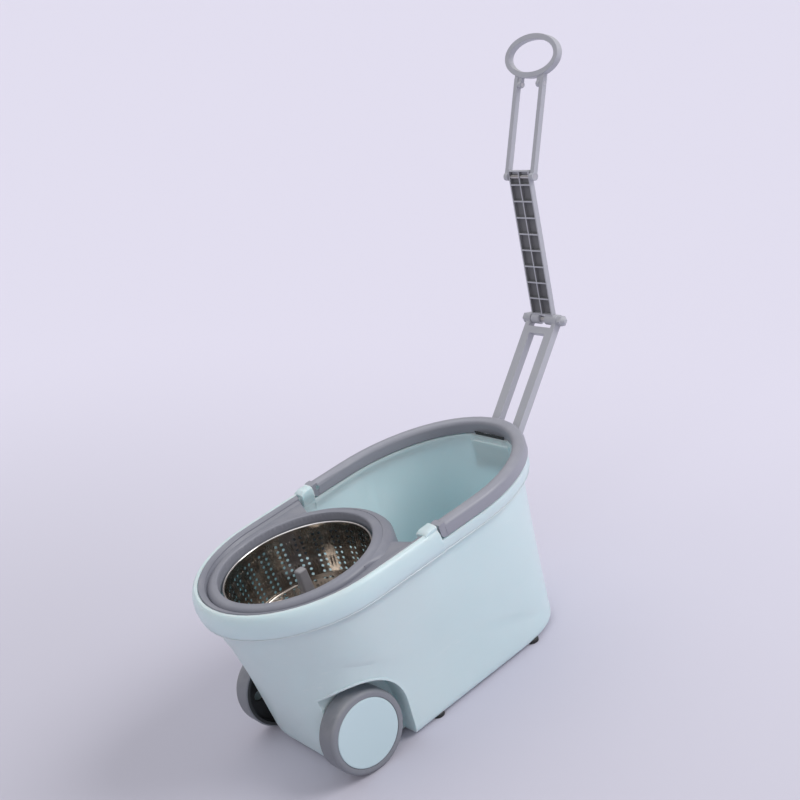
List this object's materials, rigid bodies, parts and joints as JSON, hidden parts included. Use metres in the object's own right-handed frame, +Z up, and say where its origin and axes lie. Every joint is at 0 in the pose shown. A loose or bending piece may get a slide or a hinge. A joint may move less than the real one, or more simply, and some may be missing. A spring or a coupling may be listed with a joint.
{
  "type": "spin mop bucket",
  "caption": "Oval wheeled bucket for a spin mop, with a perforated spin basket, a splash collar, a swing-up bail and a folding drawbar that ends in a ring grip.",
  "frame": {"origin": "on the floor, below the middle of the whole object's length and width", "axes": "+X runs from the basket end towards the drawbar, +Y to the left, +Z up; the bucket stands upright"},
  "size_m": [0.7254, 0.2904, 0.6894],
  "materials": {
    "bucket_plastic": "satin",
    "grey_plastic": "satin",
    "light_grey_plastic": "satin",
    "inner_plastic": "matt",
    "wheel_plastic": "matt",
    "steel": "polished",
    "pin_steel": "polished",
    "bush_brass": "turned",
    "foot_rubber": "matt"
  },
  "bodies": {
    "bucket": {"bucket_body": "bucket_plastic", "spindle_tower": "inner_plastic", "spindle_pin": "pin_steel", "thrust_washer": "bush_brass", "bail_pin_left": "pin_steel", "bail_pin_right": "pin_steel", "axle_left": "pin_steel", "axle_right": "pin_steel", "axle_retainer_left": "pin_steel", "axle_retainer_right": "pin_steel", "foot_front_left": "foot_rubber", "foot_front_right": "foot_rubber", "foot_rear_left": "foot_rubber", "foot_rear_right": "foot_rubber", "handle_bracket": "light_grey_plastic", "bracket_screws": "pin_steel", "base_pin": "pin_steel"},
    "basket": {"bearing_bush": "bush_brass", "basket_hub": "inner_plastic", "basket_floor": "steel", "basket_wall": "steel", "basket_rim": "steel", "center_post": "inner_plastic", "basket_screws": "pin_steel"},
    "collar": {"splash_collar": "grey_plastic"},
    "bail": {"bail": "grey_plastic"},
    "left_wheel": {"wheel_left": "wheel_plastic", "wheel_cap_left": "bucket_plastic"},
    "right_wheel": {"wheel_right": "wheel_plastic", "wheel_cap_right": "bucket_plastic"},
    "drawbar_lower": {"lower_link": "light_grey_plastic", "knee_pin": "pin_steel", "knee_cap_left": "light_grey_plastic", "knee_cap_right": "light_grey_plastic"},
    "drawbar_middle": {"middle_link": "light_grey_plastic", "top_pin": "pin_steel"},
    "drawbar_grip": {"rail_left": "light_grey_plastic", "rail_right": "light_grey_plastic", "ring_grip": "light_grey_plastic", "grip_rivets": "pin_steel"}
  },
  "joints": [
    {"name": "basket_spin", "type": "hinge", "parent": "bucket", "child": "basket", "pos_m": [-0.23047, 0, 0.165], "axis": [0, 0, 1], "continuous": true},
    {"name": "left_wheel_spin", "type": "hinge", "parent": "bucket", "child": "left_wheel", "pos_m": [-0.27647, 0.095, 0.0525], "axis": [0, 1, 0], "continuous": true},
    {"name": "right_wheel_spin", "type": "hinge", "parent": "bucket", "child": "right_wheel", "pos_m": [-0.27647, -0.095, 0.0525], "axis": [0, 1, 0], "continuous": true},
    {"name": "collar_lift", "type": "slide", "parent": "bucket", "child": "collar", "axis": [0, 0, 1], "range_m": [0, 0.07]},
    {"name": "bail_swing", "type": "hinge", "parent": "bucket", "child": "bail", "pos_m": [-0.10407, 0, 0.243], "axis": [0, -1, 0], "range_deg": [0, 95]},
    {"name": "drawbar_base", "type": "hinge", "parent": "bucket", "child": "drawbar_lower", "pos_m": [0.10753, 0, 0.2119], "axis": [0, -1, 0], "range_deg": [-62, 2]},
    {"name": "drawbar_knee", "type": "hinge", "parent": "drawbar_lower", "child": "drawbar_middle", "pos_m": [0.2404, 0, 0.33451], "axis": [0, 1, 0], "range_deg": [-90, 125]},
    {"name": "drawbar_top", "type": "hinge", "parent": "drawbar_middle", "child": "drawbar_grip", "pos_m": [0.2695, 0, 0.52692], "axis": [0, -1, 0], "range_deg": [-149, 20]}
  ]
}
